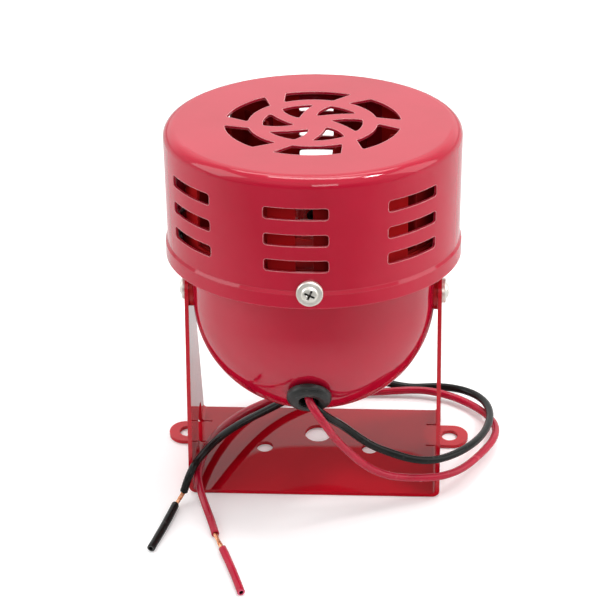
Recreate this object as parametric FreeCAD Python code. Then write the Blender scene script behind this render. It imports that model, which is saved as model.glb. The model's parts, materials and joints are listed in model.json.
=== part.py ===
import FreeCAD, Part
import math
import os

# Motor-driven head tilting in a U bracket, with two leads: a ported rotor drum turns inside a
# ported stator drum, under a slotted round cover and over a bowl that houses the motor.
# Bracket frame: +Z up, front towards -Y, base plate's underside at z=0, arms at -X and +X.
# Head frame: origin on the pivot axis, +Z along the rotor axis. Azimuths run from the front
# (-Y) towards +X. Leads are given in the bracket frame. All lengths in mm, angles in degrees.

Vector = FreeCAD.Vector
os.makedirs("parts", exist_ok=True)

SIDES = (-1, 1)         # -X and +X
SHEET = 0.8             # cover, rim and drum sheet

# ---------------------------------------------------------------- bracket dimensions
PLATE_T = 1.1           # bracket sheet
ARM_OUT = 34.9          # outer face of an arm, |x|
ARM_IN = ARM_OUT - PLATE_T
BASE_FRONT = -26.2      # y of the plate's front edge
BASE_BACK = 11.5
BEND_R = 1.0            # inner bend radius
TAPER_Z = 4.0           # height where the arms start to taper
EAR_OUT = 42.7          # tip of an ear, |x|
EAR_W = 9.0
EAR_ROOT_X = ARM_IN - 3
EAR_HOLE_X = 37.45
EAR_HOLE_R = 2.3
BIG_HOLE_R = 3.8
SMALL_HOLE_X = 14.95
SMALL_HOLE_Y = -6.5
SMALL_HOLE_R = 2.35
WIN_W = 10.0            # window left in the arm by the lanced ear
WIN_H = 9.2             # window height above the plate
PIVOT_Y = -7.2
PIVOT_Z = 57.2
PIVOT_R = 1.95          # pivot screw
PIVOT_HOLE_R = PIVOT_R + 0.07   # running fit in the arms
ARM_TOP_R = 6.5
TILT = -11.5            # head's rest tilt about +X: its top leans back

# ---------------------------------------------------------------- cover dimensions
RIM_Z = 12.0            # cover's lower edge
COVER_TOP = 48.4
COVER_R = 40.0
WALL_R = 39.45          # cover wall just above the lip
LIP_H = 3.9
LIP_STEP_H = 0.9        # slope between lip and wall
SHOULDER_R = 3.0
SLOT_H = 3.2
SLOT_CORNER_R = 0.8
SLOT_ROWS = (11.75, 19.0, 26.4)       # slot centres above the rim
SLOT_ARC = 24.6
SLOT_AZ = (-51.9, -3.7, 44.4, 127.9, 176.3, 224.5)
COVER_SCREW_Z = 16.5
COVER_SCREW_AZ = (1.4, 121.4, 241.4)
COVER_SCREW_R = 1.75
GRILLE_REPEATS = 6
GRILLE_TURN = 2.4
GRILLE_CORNER_R = 0.55
GRILLE_CUT_H = 8
# Edges of one repeat's two windows: two points make a line, three an arc.
# Points are (angle from +Y towards +X, radius).
GRILLE_WINDOWS = (
    # outer window
    (((-27, 17.3), (-18.5, 23.6)),
     ((-18.5, 23.6), (3.75, 23.6), (26, 23.6)),
     ((26, 23.6), (22.6, 20.4), (18, 17.3)),
     ((18, 17.3), (-4.5, 17.3), (-27, 17.3))),
    # inner window: curved triangle
    (((-38.8, 13.3), (-18.8, 13.3), (1.2, 13.3)),
     ((1.2, 13.3), (-20, 7.7), (-47.5, 4.9)),
     ((-47.5, 4.9), (-47, 9.2), (-38.8, 13.3))),
)

# ---------------------------------------------------------------- bowl and grommet dimensions
BOWL_R = 33.1
BOWL_DEPTH = 32.0
BOWL_T = 0.9
BOWL_POWER = 2.12       # superellipse exponent of the bowl's outline
BOWL_STEPS = 18
FLANGE_Z = 12.2
RIM_R = 38.3
RIM_TOP = 19.7
GROMMET_EL = -33.0      # elevation of the grommet axis, towards the front and down
GROMMET_HOLE_R = 4.3

# ---------------------------------------------------------------- drum and rotor dimensions
PLATE_Z = FLANGE_Z + SHEET            # underside of the motor plate
STATOR_Z = FLANGE_Z + 2 * SHEET       # underside of the stator drum
STATOR_R = 35.6
STATOR_BORE_R = 26.2
STATOR_TOP = 46.3
STATOR_PHASE = 15.1
ROTOR_R = 34.4
ROTOR_FLOOR = 16.7
ROTOR_TOP = 45.1
ROTOR_PHASE = 36.6
PORTS = 7
PORT_PITCH = 360 / PORTS
PORT_STATOR_ARC = 39.4
PORT_ROTOR_ARC = 35.4
VANE_T = 0.8
VANE_IN_R = 13.0
RIVET_AZ = (45, 135, 225, 315)
RIVET_CIRCLE_R = 29
RIVET_R = 1.2
HUB_SPIGOT_R = 3.0      # fits the hole in the rotor floor
HUB_Z = ROTOR_FLOOR + SHEET           # seat of the hub flange
SET_SCREW_R = 1.5
SET_SCREW_Z = HUB_Z + 6

# ---------------------------------------------------------------- motor dimensions
SHAFT_R = 1.15
SHAFT_L = 51.0
CAN_R = 14.0
CAN_T = 1.0
CAN_TOP = 13.0
CAN_BOTTOM = -20.0
MOTOR_SCREW_X = 8
MOTOR_SCREW_R = 1.25
BEARING_R = 3.0
BEARING_H = 4.2
TERMINAL_X = 9.5
TERMINAL_T = 0.5
BRUSH_HALF_W = 1.5      # half width of terminals and brush arms
ARM_X = 6.1             # brush arm's inner face
COMM_R = 3.3
COMM_Z = (-17.7, -12.9)
CORE_Z = (-8.3, 6.2)
POLES = 5
POLE_PITCH = 72

# ---------------------------------------------------------------- lead dimensions
LEAD_R = 1.1
SOCKET_R = 0.66         # recess where the copper leaves the insulation
STRANDS = 3
STRAND_R = 0.27
STRAND_OFFSET = 0.31    # strand centre from the bundle's centre line
STRAND_TURNS = 1.25
STRAND_STEPS = 12
# centre lines, (x, y, z) from the grommet to the stripped end
RED_PATH = [
    (-0.30, -36.27, 44.41), (1.16, -40.36, 40.88), (5.22, -39.66, 35.32), (8.27, -38.76, 29.14),
    (11.84, -37.41, 23.20), (15.91, -35.75, 17.75), (20.88, -33.45, 13.41), (26.89, -30.73, 10.47),
    (33.43, -28.15, 8.73), (38.99, -24.36, 7.51), (43.24, -18.99, 6.44), (46.78, -12.73, 5.48),
    (49.64, -6.15, 4.58), (50.46, 0.51, 3.68), (48.34, 6.96, 2.82), (43.91, 12.57, 2.20),
    (38.03, 16.69, 2.06), (31.43, 18.89, 2.26), (24.56, 19.47, 2.01), (17.52, 19.29, 1.48),
    (10.35, 19.26, 1.16), (3.20, 19.25, 1.19), (-3.73, 18.44, 1.44), (-10.23, 16.06, 1.79),
    (-16.09, 12.10, 2.28), (-21.08, 7.09, 3.01), (-25.09, 1.38, 3.96), (-28.18, -4.88, 4.90),
    (-30.40, -11.54, 5.59), (-31.81, -18.47, 5.79), (-32.28, -25.46, 5.16), (-30.63, -31.92, 3.03),
    (-28.18, -38.34, 1.30), (-26.18, -45.08, 1.13),
]
BLACK_PATH = [
    (0.30, -37.19, 46.73), (3.10, -41.40, 44.28), (5.82, -36.75, 39.80), (8.05, -33.65, 33.90),
    (11.68, -33.89, 28.41), (16.17, -33.12, 23.78), (21.36, -31.60, 19.93), (27.05, -30.27, 16.80),
    (32.60, -27.93, 14.52), (37.54, -24.04, 12.94), (41.67, -19.12, 11.56), (44.87, -13.59, 10.06),
    (47.17, -7.59, 8.54), (48.55, -1.21, 7.12), (48.74, 5.22, 5.81), (47.37, 11.31, 4.57),
    (44.04, 16.63, 3.33), (38.63, 20.66, 2.11), (32.29, 22.37, 1.26), (25.92, 22.20, 1.15),
    (19.48, 22.72, 2.01), (13.06, 23.08, 3.30), (6.84, 21.43, 4.24), (0.94, 18.54, 4.57),
    (-4.59, 14.92, 4.50), (-9.69, 10.71, 4.46), (-14.30, 6.07, 4.86), (-18.43, 1.12, 5.85),
    (-22.12, -4.13, 7.14), (-25.44, -9.65, 8.43), (-28.46, -15.40, 9.40), (-31.24, -21.37, 9.76),
    (-33.80, -28.00, 9.38), (-35.99, -29.83, 3.49),
]
# loose insulation ends on the ground: start and end of each axis
RED_SLUG = ((-23.95, -50.71, 1.12), (-17.47, -68.89, 1.12))
BLACK_SLUG = ((-38.20, -32.89, 1.12), (-43.34, -51.68, 1.12))


# ---------------------------------------------------------------- helpers
def cyl(radius, height, base=(0, 0, 0), axis=(0, 0, 1)):
    return Part.makeCylinder(radius, height, Vector(*base), Vector(*axis))


def box(x0, y0, z0, x1, y1, z1):
    return Part.makeBox(x1 - x0, y1 - y0, z1 - z0, Vector(x0, y0, z0))


def side_box(side, x_in, x_out, half_y, z0, z1):
    """Box on one side (-1 or 1), between |x| values, centred on y=0."""
    xs = sorted((side * x_in, side * x_out))
    return box(xs[0], -half_y, z0, xs[1], half_y, z1)


def ring(r_in, r_out, z0, z1):
    return cyl(r_out, z1 - z0, (0, 0, z0)).cut(cyl(r_in, z1 - z0, (0, 0, z0)))


def poly_face(points):
    return Part.Face(Part.makePolygon([Vector(*p) for p in points] + [Vector(*points[0])]))


def turned(face):
    return face.revolve(Vector(0, 0, 0), Vector(0, 0, 1), 360)


def revolve(profile):
    """Closed profile of (r, z) points turned about Z."""
    return turned(poly_face([(r, 0, z) for r, z in profile]))


def sector(r_in, r_out, az0, az1, z0, z1):
    """Ring sector between two azimuths."""
    wedge = Part.makeCylinder(r_out, z1 - z0, Vector(0, 0, z0), Vector(0, 0, 1), az1 - az0)
    wedge = wedge.cut(cyl(r_in, z1 - z0 + 2, (0, 0, z0 - 1)))
    wedge.rotate(Vector(0, 0, 0), Vector(0, 0, 1), -90 + az0)
    return wedge


def polar(az, r, z=0.0):
    """Point at an azimuth from the front (-Y) towards +X."""
    angle = math.radians(az)
    return Vector(r * math.sin(angle), -r * math.cos(angle), z)


def radial_cyl(radius, length, az, r, z):
    """Cylinder running outwards from radius r."""
    return cyl(radius, length, polar(az, r, z), polar(az, 1))


def rotz(shape, angle):
    shape = shape.copy()
    shape.rotate(Vector(0, 0, 0), Vector(0, 0, 1), angle)
    return shape


def group(items):
    return Part.makeCompound([solid for item in items for solid in item.Solids])


def along(shape, origin, direction):
    """Shape modelled on +Z with its seat at the origin, laid along a direction."""
    shape = shape.copy()
    turn = FreeCAD.Rotation(Vector(0, 0, 1), direction)
    shape.Placement = FreeCAD.Placement(origin, turn).multiply(shape.Placement)
    return shape


def fillet_or_sharp(shape, radius, edges):
    # Guards a fillet the kernel may refuse; the edges are then left sharp.
    try:
        return shape.makeFillet(radius, edges)
    except Exception:
        return shape


def pan_screw(radius, head_r, head_h, length, recess):
    """Cross-recessed pan head above z=0, shank below; recess is half the cross width."""
    flat = head_h * 0.62
    dome_r = head_r * 0.64
    profile = [(0, 0), (head_r, 0), (head_r, flat * 0.7), (head_r - 0.22, flat * 0.93),
               (head_r - 0.5, flat), (dome_r, flat)]
    steps = 6
    for i in range(1, steps + 1):
        t = i / steps
        rise = math.sqrt(max(0.0, 1 - (1 - t) ** 2))
        profile.append((dome_r * (1 - t), flat + (head_h - flat) * rise))
    head = revolve(profile)
    shank = revolve([(0, 0.05), (radius, 0.05), (radius, -length + 0.5),
                     (radius - 0.45, -length), (0, -length)])
    screw = head.fuse(shank)
    width, depth = recess * 0.36, head_h * 0.72
    for angle in (45, 135):
        wing = poly_face([(-recess, -width / 2, head_h + 0.1),
                          (recess, -width / 2, head_h + 0.1),
                          (recess * 0.45, -width / 2, head_h - depth),
                          (-recess * 0.45, -width / 2, head_h - depth)])
        screw = screw.cut(rotz(wing.extrude(Vector(0, width, 0)), angle))
    return screw


def hex_nut(across_flats, height, hole_r):
    corner = across_flats / math.sqrt(3)
    angles = [math.radians(60 * i + 30) for i in range(6)]
    prism = poly_face([(corner * math.cos(a), corner * math.sin(a), 0) for a in angles])
    nut = prism.extrude(Vector(0, 0, height))
    nut = nut.common(revolve([(0, 0), (corner * 0.93, 0), (corner + 0.05, height * 0.16),
                              (corner + 0.05, height * 0.84), (corner * 0.93, height),
                              (0, height)]))
    return nut.cut(cyl(hole_r, height + 2, (0, 0, -1)))


def sweep(points, radius):
    """Solid rod along a smooth curve through the points."""
    curve = Part.BSplineCurve()
    curve.interpolate([Vector(*p) for p in points])
    wire = Part.Wire([curve.toShape()])
    start = curve.getD0(curve.FirstParameter)
    tangent = curve.tangent(curve.FirstParameter)[0]
    section = Part.Wire([Part.Circle(start, tangent, radius).toShape()])
    return wire.makePipeShell([section], True, True)


HEAD = FreeCAD.Placement(Vector(0, PIVOT_Y, PIVOT_Z), FreeCAD.Rotation(Vector(1, 0, 0), TILT))


def place_head(shape):
    """Head frame to bracket frame."""
    shape = shape.copy()
    shape.Placement = HEAD.multiply(shape.Placement)
    return shape


# ---------------------------------------------------------------- bracket
def bracket_channel():
    """U section, open upwards, running along Y."""
    top = PIVOT_Z + ARM_TOP_R + 1
    outer = box(-ARM_OUT, BASE_FRONT, 0, ARM_OUT, BASE_BACK, top)
    inner = box(-ARM_IN, BASE_FRONT - 1, PLATE_T, ARM_IN, BASE_BACK + 1, top + 1)

    def bottom_edges(shape, z):
        return [e for e in shape.Edges
                if abs(e.BoundBox.ZMax - z) < 1e-6 and e.BoundBox.XLength < 1e-6]

    outer = outer.makeFillet(BEND_R + PLATE_T, bottom_edges(outer, 0))
    inner = inner.makeFillet(BEND_R, bottom_edges(inner, PLATE_T))
    return outer.cut(inner)


def arm_outline():
    """Side outline as a prism along X: full depth at the bend, tapering to a round top."""
    def at(y, z):
        return Vector(-50, y, z)

    def tangent_point(y, turn):
        """Where the line from (y, TAPER_Z) touches the circle round the pivot."""
        dy, dz = PIVOT_Y - y, PIVOT_Z - TAPER_Z
        distance = math.hypot(dy, dz)
        angle = math.atan2(dz, dy) + turn * math.asin(ARM_TOP_R / distance)
        length = math.sqrt(distance * distance - ARM_TOP_R ** 2)
        return at(y + length * math.cos(angle), TAPER_Z + length * math.sin(angle))

    front_low, front_knee = at(BASE_FRONT, -1), at(BASE_FRONT, TAPER_Z)
    back_low, back_knee = at(BASE_BACK, -1), at(BASE_BACK, TAPER_Z)
    front_top, back_top = tangent_point(BASE_FRONT, 1), tangent_point(BASE_BACK, -1)
    edges = [Part.makeLine(front_low, front_knee),
             Part.makeLine(front_knee, front_top),
             Part.Arc(front_top, at(PIVOT_Y, PIVOT_Z + ARM_TOP_R), back_top).toShape(),
             Part.makeLine(back_top, back_knee),
             Part.makeLine(back_knee, back_low),
             Part.makeLine(back_low, front_low)]
    return Part.Face(Part.Wire(edges)).extrude(Vector(100, 0, 0))


def bracket():
    body = bracket_channel().common(arm_outline())
    # holes in the base
    body = body.cut(cyl(BIG_HOLE_R, 4, (0, 0, -1)))
    for side in SIDES:
        body = body.cut(cyl(SMALL_HOLE_R, 4, (side * SMALL_HOLE_X, SMALL_HOLE_Y, -1)))
    spring_z = WIN_H - WIN_W / 2 + PLATE_T
    ear_centre = EAR_OUT - EAR_W / 2
    for side in SIDES:
        # arched window in the arm
        window = side_box(side, EAR_ROOT_X, ARM_OUT + 1, WIN_W / 2, -1, spring_z)
        low_x = min(side * EAR_ROOT_X, side * (ARM_OUT + 1))
        arch = cyl(WIN_W / 2, ARM_OUT + 1 - EAR_ROOT_X, (low_x, 0, spring_z), (1, 0, 0))
        body = body.cut(window.fuse(arch))
        # ear: flat tongue carrying on from the plate
        ear = side_box(side, EAR_ROOT_X, ear_centre, EAR_W / 2, 0, PLATE_T)
        ear = ear.fuse(cyl(EAR_W / 2, PLATE_T, (side * ear_centre, 0, 0)))
        body = body.fuse(ear)
        body = body.cut(cyl(EAR_HOLE_R, 4, (side * EAR_HOLE_X, 0, -1)))
    body = body.removeSplitter()
    return body.cut(cyl(PIVOT_HOLE_R, 2 * ARM_OUT + 2, (-ARM_OUT - 1, PIVOT_Y, PIVOT_Z),
                        (1, 0, 0)))


# ---------------------------------------------------------------- bowl
def bowl_solid(inset=0.0):
    """Solid inside the bowl's outer surface pulled in by inset, carried up to z=20."""
    radius, depth = BOWL_R - inset, BOWL_DEPTH - inset
    points = []
    for i in range(BOWL_STEPS + 1):
        t = math.pi / 2 * i / BOWL_STEPS
        r = radius * math.cos(t) ** (2 / BOWL_POWER) if i < BOWL_STEPS else 0.0
        points.append(Vector(r, 0, -depth * math.sin(t) ** (2 / BOWL_POWER)))
    curve = Part.BSplineCurve()
    curve.interpolate(Points=points, InitialTangent=Vector(0, 0, -1),
                      FinalTangent=Vector(-1, 0, 0))
    top_centre, top_edge = Vector(0, 0, 20), Vector(radius, 0, 20)
    edges = [curve.toShape(), Part.makeLine(points[-1], top_centre),
             Part.makeLine(top_centre, top_edge), Part.makeLine(top_edge, points[0])]
    return turned(Part.Face(Part.Wire(edges)))


def bowl_shell():
    return bowl_solid().cut(bowl_solid(BOWL_T))


def grommet_axis():
    elevation = math.radians(GROMMET_EL)
    return Vector(0, -math.cos(elevation), math.sin(elevation))


def grommet_hole():
    return cyl(GROMMET_HOLE_R, 20, grommet_axis() * 24, grommet_axis())


def bowl_surface_r():
    """Distance from the pivot centre to the bowl's outside along the grommet axis."""
    axis = grommet_axis()
    total = (-axis.y / BOWL_R) ** BOWL_POWER + (-axis.z / BOWL_DEPTH) ** BOWL_POWER
    return total ** (-1 / BOWL_POWER)


def bowl():
    shell = bowl_shell().common(cyl(60, 100, (0, 0, FLANGE_Z - 100)))
    r_in = BOWL_R - BOWL_T
    # flange and upright rim
    rim = revolve([(r_in, FLANGE_Z - 0.5), (BOWL_R, FLANGE_Z - 0.5), (BOWL_R, FLANGE_Z - 0.4),
                   (BOWL_R + 0.4, FLANGE_Z), (RIM_R - 0.5, FLANGE_Z),
                   (RIM_R - 0.12, FLANGE_Z + 0.14), (RIM_R, FLANGE_Z + 0.5), (RIM_R, RIM_TOP),
                   (RIM_R - SHEET, RIM_TOP), (RIM_R - SHEET, FLANGE_Z + SHEET),
                   (r_in, FLANGE_Z + SHEET)])
    body = shell.fuse(rim).removeSplitter()
    body = body.cut(grommet_hole())
    for az in COVER_SCREW_AZ:
        body = body.cut(radial_cyl(COVER_SCREW_R, 8, az, 34.5, COVER_SCREW_Z))
    for side in SIDES:
        body = body.cut(cyl(PIVOT_R, 8, (side * 28, 0, 0), (side, 0, 0)))
    return body


# ---------------------------------------------------------------- cover
def grille_cuts():
    """Swirl of windows in the flat top, as prisms."""
    def edge(points, turn):
        ends = []
        for angle, r in points:
            a = math.radians(turn + angle)
            ends.append(Vector(r * math.sin(a), r * math.cos(a), 0))
        return Part.makeLine(*ends) if len(ends) == 2 else Part.Arc(*ends).toShape()

    cuts = []
    for k in range(GRILLE_REPEATS):
        turn = 360 // GRILLE_REPEATS * k
        for window in GRILLE_WINDOWS:
            edges = [edge(points, turn) for points in window]
            face = Part.Face(Part.Wire(Part.__sortEdges__(edges)))
            face.translate(Vector(0, 0, COVER_TOP - 5))
            prism = face.extrude(Vector(0, 0, GRILLE_CUT_H))
            upright = [e for e in prism.Edges if e.BoundBox.ZLength > GRILLE_CUT_H - 0.1]
            cuts.append(fillet_or_sharp(prism, GRILLE_CORNER_R, upright))
    return cuts


def slot_cut(az, z):
    """Radial cutter with rounded corners for one side slot."""
    corner = SLOT_CORNER_R
    corner_az = math.degrees(corner / WALL_R)
    half_h, half_az = SLOT_H / 2, SLOT_ARC / 2
    parts = [sector(36, 43, az - half_az, az + half_az, z - half_h + corner,
                    z + half_h - corner),
             sector(36, 43, az - half_az + corner_az, az + half_az - corner_az,
                    z - half_h, z + half_h)]
    for turn in (-1, 1):
        for up in (-1, 1):
            parts.append(radial_cyl(corner, 7, az + turn * (half_az - corner_az), 36,
                                    z + up * (half_h - corner)))
    return parts[0].multiFuse(parts[1:])


def cover_skin(inset):
    """Profile points of the cover's outside, set in by inset, from top centre to lower edge."""
    centre_r, centre_z = COVER_R - SHOULDER_R, COVER_TOP - SHOULDER_R
    diagonal = (SHOULDER_R - inset) * math.sqrt(0.5)
    points = [(0, COVER_TOP - inset),
              (centre_r, COVER_TOP - inset),
              (centre_r + diagonal, centre_z + diagonal),
              (COVER_R - inset, centre_z),
              (WALL_R - inset, RIM_Z + LIP_H + LIP_STEP_H),
              (COVER_R - inset, RIM_Z + LIP_H),
              (COVER_R - inset, RIM_Z)]
    return [Vector(r, 0, z) for r, z in points]


def top_cover():
    centre, flat, bend, wall, foot, lip, low = cover_skin(0)
    centre_in, flat_in, bend_in, wall_in, foot_in, lip_in, low_in = cover_skin(SHEET)
    line = Part.makeLine
    edges = [line(centre, flat), Part.Arc(flat, bend, wall).toShape(), line(wall, foot),
             line(foot, lip), line(lip, low), line(low, low_in), line(low_in, lip_in),
             line(lip_in, foot_in), line(foot_in, wall_in),
             Part.Arc(wall_in, bend_in, flat_in).toShape(), line(flat_in, centre_in),
             line(centre_in, centre)]
    body = turned(Part.Face(Part.Wire(edges)))
    # soft lower edge
    low_edges = [e for e in body.Edges
                 if abs(e.BoundBox.ZMax - RIM_Z) < 1e-6 and e.BoundBox.ZLength < 1e-6]
    body = fillet_or_sharp(body, 0.25, low_edges)
    for cut in grille_cuts():
        body = body.cut(rotz(cut, GRILLE_TURN))
    for az in SLOT_AZ:
        for row in SLOT_ROWS:
            body = body.cut(slot_cut(az, RIM_Z + row))
    for az in COVER_SCREW_AZ:
        body = body.cut(radial_cyl(COVER_SCREW_R + 0.15, 10, az, 34, COVER_SCREW_Z))
    return body


# ---------------------------------------------------------------- hardware
def cover_screws(cover):
    """Screws relieved where their heads meet the cover's lip and step."""
    screws = []
    for az in COVER_SCREW_AZ:
        screw = rotz(pan_screw(COVER_SCREW_R, head_r=3.5, head_h=2.0, length=3.4, recess=1.65), 22)
        screws.append(along(screw, polar(az, 39.6, COVER_SCREW_Z), polar(az, 1)).cut(cover))
    return group(screws)


def pivot_screws():
    screws = []
    for side in SIDES:
        screw = pan_screw(PIVOT_R, head_r=3.4, head_h=1.9, length=ARM_OUT - 27.2, recess=1.5)
        screws.append(along(rotz(screw, 12 * side), Vector(side * (ARM_OUT + 0.02), 0, 0),
                            Vector(side, 0, 0)))
    return group(screws)


def pivot_spacers():
    """Bushes between arm and bowl, shaped to the bowl at their inner end."""
    spacers = []
    body = bowl_solid()
    for side in SIDES:
        spacer = cyl(5.2, 2.4, (side * (ARM_IN - 0.03), 0, 0), (-side, 0, 0))
        spacer = spacer.cut(cyl(PIVOT_R, 6, (side * (ARM_IN + 1), 0, 0), (-side, 0, 0)))
        spacers.append(spacer.cut(body))
    return group(spacers)


def pivot_lock_washers():
    washers = []
    for side in SIDES:
        washer = cyl(3.9, 0.9, (side * 31.85, 0, 0), (-side, 0, 0))
        washer = washer.cut(cyl(PIVOT_R, 2, (side * 32.2, 0, 0), (-side, 0, 0)))
        split = box(-5, -0.25, 0, 5, 0.25, 5)
        split.rotate(Vector(0, 0, 0), Vector(1, 0, 0), 25)
        split.translate(Vector(side * 31.4, 0, 0))
        washers.append(washer.cut(split))
    return group(washers)


def pivot_nuts():
    nut = hex_nut(7.0, 3.2, PIVOT_R)
    return group([along(nut, Vector(side * 30.95, 0, 0), Vector(-side, 0, 0)) for side in SIDES])


# ---------------------------------------------------------------- plate, drums and hub
def cup(bore_r, radius, z0, top, bend=0.9, bend_mid=0.26, inner_rise=1.0, inner_step=0.15):
    """Sheet cup open upwards; the last four values shape its lower corner."""
    wall_in = radius - SHEET
    return revolve([(bore_r, z0), (radius - bend, z0), (radius - bend_mid, z0 + bend_mid),
                    (radius, z0 + bend), (radius, top), (wall_in, top),
                    (wall_in, z0 + inner_rise), (wall_in - inner_step, z0 + SHEET),
                    (bore_r, z0 + SHEET)])


def cut_rivet_holes(body, height, z):
    for az in RIVET_AZ:
        body = body.cut(cyl(RIVET_R, height, polar(az, RIVET_CIRCLE_R, z)))
    return body


def cut_ports(body, phase, arc, r_in, z0, z1):
    for k in range(PORTS):
        az = k * PORT_PITCH + phase
        body = body.cut(sector(r_in, 40, az - arc / 2, az + arc / 2, z0, z1))
    return body


def cut_motor_screw_holes(body, z):
    for side in SIDES:
        body = body.cut(cyl(MOTOR_SCREW_R, 4, (side * MOTOR_SCREW_X, 0, z)))
    return body


def motor_plate():
    below = PLATE_Z - 1
    body = cup(0, RIM_R - SHEET, PLATE_Z, RIM_TOP)
    body = body.cut(cyl(5.05, 4, (0, 0, below)))
    body = cut_motor_screw_holes(body, below)
    body = cut_rivet_holes(body, 4, below)
    # air intakes round the motor
    for k in range(6):
        body = body.cut(cyl(3.2, 4, polar(60 * k + 30, 21, below)))
    for az in COVER_SCREW_AZ:
        body = body.cut(radial_cyl(COVER_SCREW_R, 8, az, 33, COVER_SCREW_Z))
    return body


def stator_drum():
    body = cup(STATOR_BORE_R, STATOR_R, STATOR_Z, STATOR_TOP)
    body = cut_ports(body, STATOR_PHASE, PORT_STATOR_ARC, 30, 20.5, 44.5)
    return cut_rivet_holes(body, 6, STATOR_Z - 1)


def stator_rivets():
    """Rivets through the motor plate and the stator floor."""
    top, bottom = FLANGE_Z + 3 * SHEET, PLATE_Z
    rivets = []
    for az in RIVET_AZ:
        rivet = revolve([(0, bottom - 0.7), (1.9, bottom - 0.7), (2.0, bottom),
                         (RIVET_R, bottom), (RIVET_R, top), (2.2, top), (2.0, top + 0.5),
                         (1.4, top + 0.9), (0, top + 1.05)])
        rivet.translate(polar(az, RIVET_CIRCLE_R))
        rivets.append(rivet)
    return group(rivets)


def rotor_drum():
    """Ported cup with a radial vane behind each post between ports."""
    body = cup(HUB_SPIGOT_R, ROTOR_R, ROTOR_FLOOR, ROTOR_TOP,
               bend=1.0, bend_mid=0.29, inner_rise=1.1, inner_step=0.2)
    body = cut_ports(body, ROTOR_PHASE, PORT_ROTOR_ARC, 29, 20.7, 43.5)
    vanes = []
    for k in range(PORTS):
        vane = box(-VANE_T / 2, -(ROTOR_R - SHEET) - 0.2, HUB_Z - 0.1,
                   VANE_T / 2, -VANE_IN_R, ROTOR_TOP - 3.5)
        # slope the inner edge outwards towards the top
        slope = poly_face([(-1, -VANE_IN_R, HUB_Z + 3), (-1, -VANE_IN_R, ROTOR_TOP),
                           (-1, -24.0, ROTOR_TOP)]).extrude(Vector(2, 0, 0))
        vanes.append(rotz(vane.cut(slope), (k + 0.5) * PORT_PITCH + ROTOR_PHASE))
    return body.multiFuse(vanes).removeSplitter()


def rotor_hub():
    low = ROTOR_FLOOR - 1.0
    body = revolve([(SHAFT_R, low), (HUB_SPIGOT_R, low), (HUB_SPIGOT_R, HUB_Z), (7.0, HUB_Z),
                    (7.0, HUB_Z + 1.3), (6.8, HUB_Z + 1.5), (4.6, HUB_Z + 1.5),
                    (4.6, HUB_Z + 9.3), (4.3, HUB_Z + 9.6), (SHAFT_R, HUB_Z + 9.6)])
    return body.cut(cyl(SET_SCREW_R, 8, (0, 0, SET_SCREW_Z), (0, -1, 0)))


def set_screw():
    screw = cyl(SET_SCREW_R, 3.9, (0, -1.0, SET_SCREW_Z), (0, -1, 0))
    angles = [math.radians(60 * i) for i in range(6)]
    socket = poly_face([(0.85 * math.cos(a), -6, SET_SCREW_Z + 0.85 * math.sin(a))
                        for a in angles])
    screw = screw.cut(socket.extrude(Vector(0, 2.6, 0)))
    return screw.cut(cyl(SHAFT_R, 30, (0, 0, 10)))


# ---------------------------------------------------------------- motor
def motor_can():
    top, r_in = CAN_TOP, CAN_R - CAN_T
    body = revolve([(4.0, top), (CAN_R - 1.2, top), (CAN_R - 0.35, top - 0.35),
                    (CAN_R, top - 1.2), (CAN_R, CAN_BOTTOM), (r_in, CAN_BOTTOM),
                    (r_in, top - 1.4), (CAN_R - 1.4, top - CAN_T), (4.0, top - CAN_T)])
    body = body.fuse(ring(BEARING_R, 5.0, top - 3.0, top + 1.6)).removeSplitter()
    body = cut_motor_screw_holes(body, top - 3)
    for k in range(4):
        body = body.cut(cyl(1.6, 4, polar(45 + 90 * k, 9.3, top - 3)))
    # windows in the side wall
    for side in SIDES:
        body = body.cut(side_box(side, 12, 15, 3, -17, -13))
    return body


def motor_magnets():
    return group([sector(10.8, CAN_R - CAN_T, az - 62, az + 62, -11.3, 9.2) for az in (0, 180)])


def motor_end_cap():
    z = CAN_BOTTOM
    body = revolve([(3.0, z - 2.6), (8.5, z - 2.6), (12.2, z - 1.3), (13.7, z - 0.6),
                    (13.7, z), (12.98, z), (12.98, z + 2.2), (12.0, z + 2.2),
                    (12.0, z + 0.6), (3.0, z + 0.6)])
    body = body.fuse(ring(BEARING_R, 5.2, z - 3.6, z + 1.0)).removeSplitter()
    # terminal slots
    for side in SIDES:
        body = body.cut(side_box(side, TERMINAL_X - 0.4, TERMINAL_X + 0.4, 1.6, z - 6, z + 3))
    return body


def bearing(z):
    return ring(SHAFT_R + 0.03, BEARING_R, z, z + BEARING_H)


def thrust_washers():
    return group([ring(SHAFT_R, 2.4, z, z + 0.5) for z in (CAN_TOP - 3.5, CAN_BOTTOM + 1.0)])


def motor_terminals():
    terminals = []
    for side in SIDES:
        blade = side_box(side, TERMINAL_X - TERMINAL_T / 2, TERMINAL_X + TERMINAL_T / 2,
                         BRUSH_HALF_W, CAN_BOTTOM - 5.4, CAN_BOTTOM + 1.2)
        eye = cyl(0.7, 3, (side * TERMINAL_X - 1.5, 0, CAN_BOTTOM - 4.0), (1, 0, 0))
        terminals.append(blade.cut(eye))
    return group(terminals)


def brush_arms():
    arms = []
    low = CAN_BOTTOM + 0.6
    for side in SIDES:
        foot = side_box(side, 8.2, TERMINAL_X - TERMINAL_T / 2, BRUSH_HALF_W, low,
                        CAN_BOTTOM + 1.1)
        link = side_box(side, ARM_X, 8.3, BRUSH_HALF_W, low, CAN_BOTTOM + 1.0)
        arm = side_box(side, ARM_X, ARM_X + 0.35, BRUSH_HALF_W, low, -13.3)
        arms.append(foot.multiFuse([link, arm]).removeSplitter())
    return group(arms)


def motor_brushes():
    bore = cyl(COMM_R + 0.03, 10, (0, 0, -20))
    return group([side_box(side, 2.9, ARM_X, 1.4, -16.9, -13.9).cut(bore) for side in SIDES])


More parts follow.
